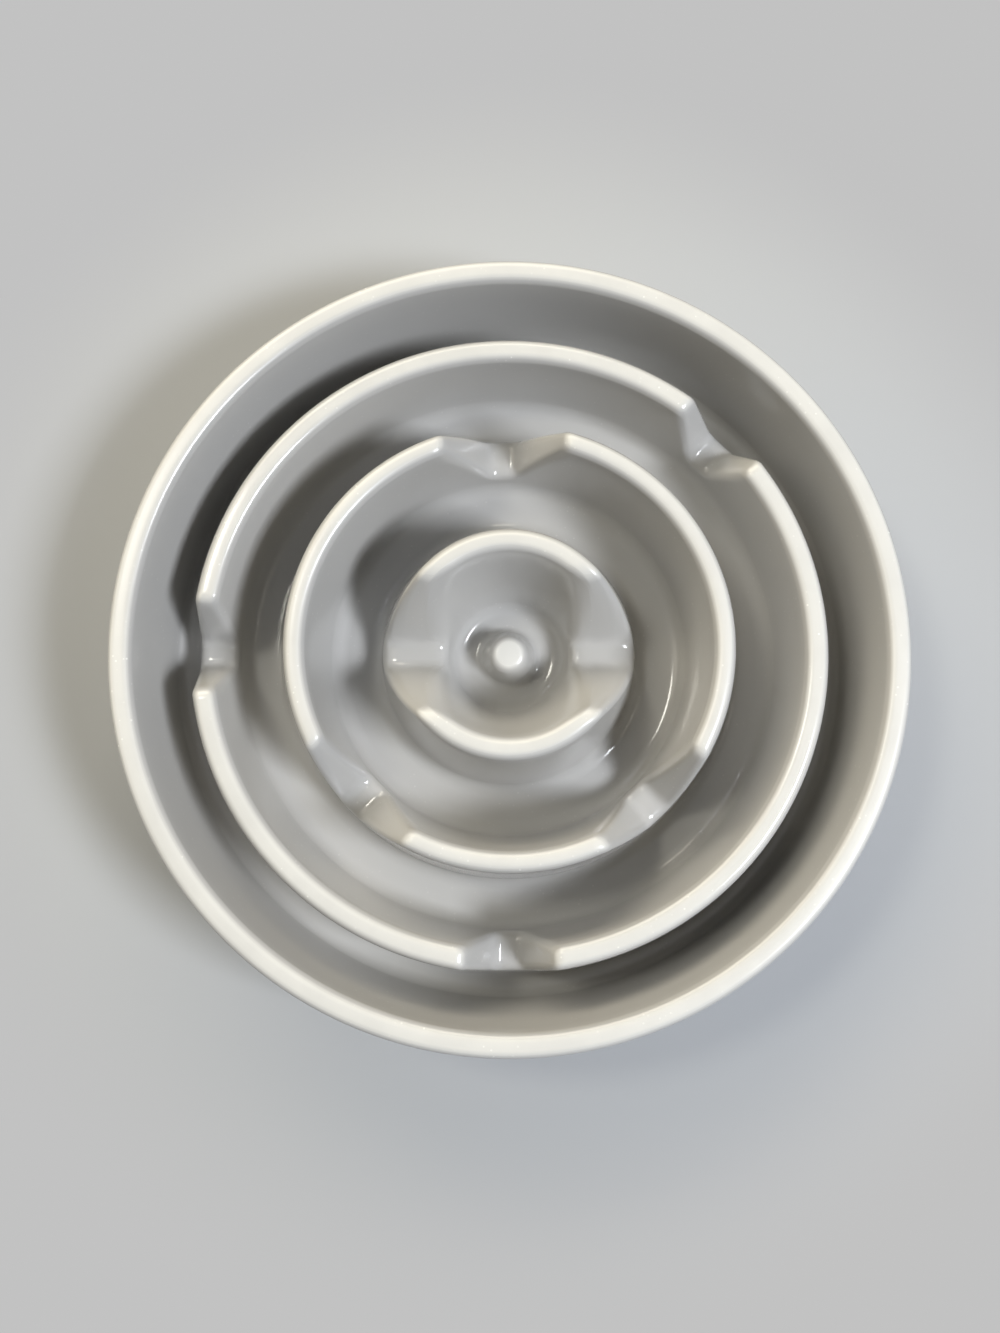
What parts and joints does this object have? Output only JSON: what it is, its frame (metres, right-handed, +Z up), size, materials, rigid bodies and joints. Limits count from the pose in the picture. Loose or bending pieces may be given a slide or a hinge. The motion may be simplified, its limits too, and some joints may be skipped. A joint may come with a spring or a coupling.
{
  "type": "slow feeder bowl",
  "caption": "Round glossy grey slow feeder bowl with concentric ridges cut by saddle notches, a centre post and push-in rubber feet.",
  "frame": {"origin": "on the bowl's axis, on the plane that its feet stand on", "axes": "+Z up along the bowl's axis, +Y towards the single notch of the inner ridge's back, +X to the right"},
  "size_m": [0.2916, 0.2916, 0.057],
  "materials": {
    "bowl_plastic": "glossy moulded",
    "foot_rubber": "matte"
  },
  "bodies": {
    "root": {"bowl": "bowl_plastic", "rubber_foot_1": "foot_rubber", "rubber_foot_2": "foot_rubber", "rubber_foot_3": "foot_rubber", "rubber_foot_4": "foot_rubber", "rubber_foot_5": "foot_rubber", "rubber_foot_6": "foot_rubber", "rubber_foot_7": "foot_rubber", "rubber_foot_8": "foot_rubber"}
  },
  "joints": []
}
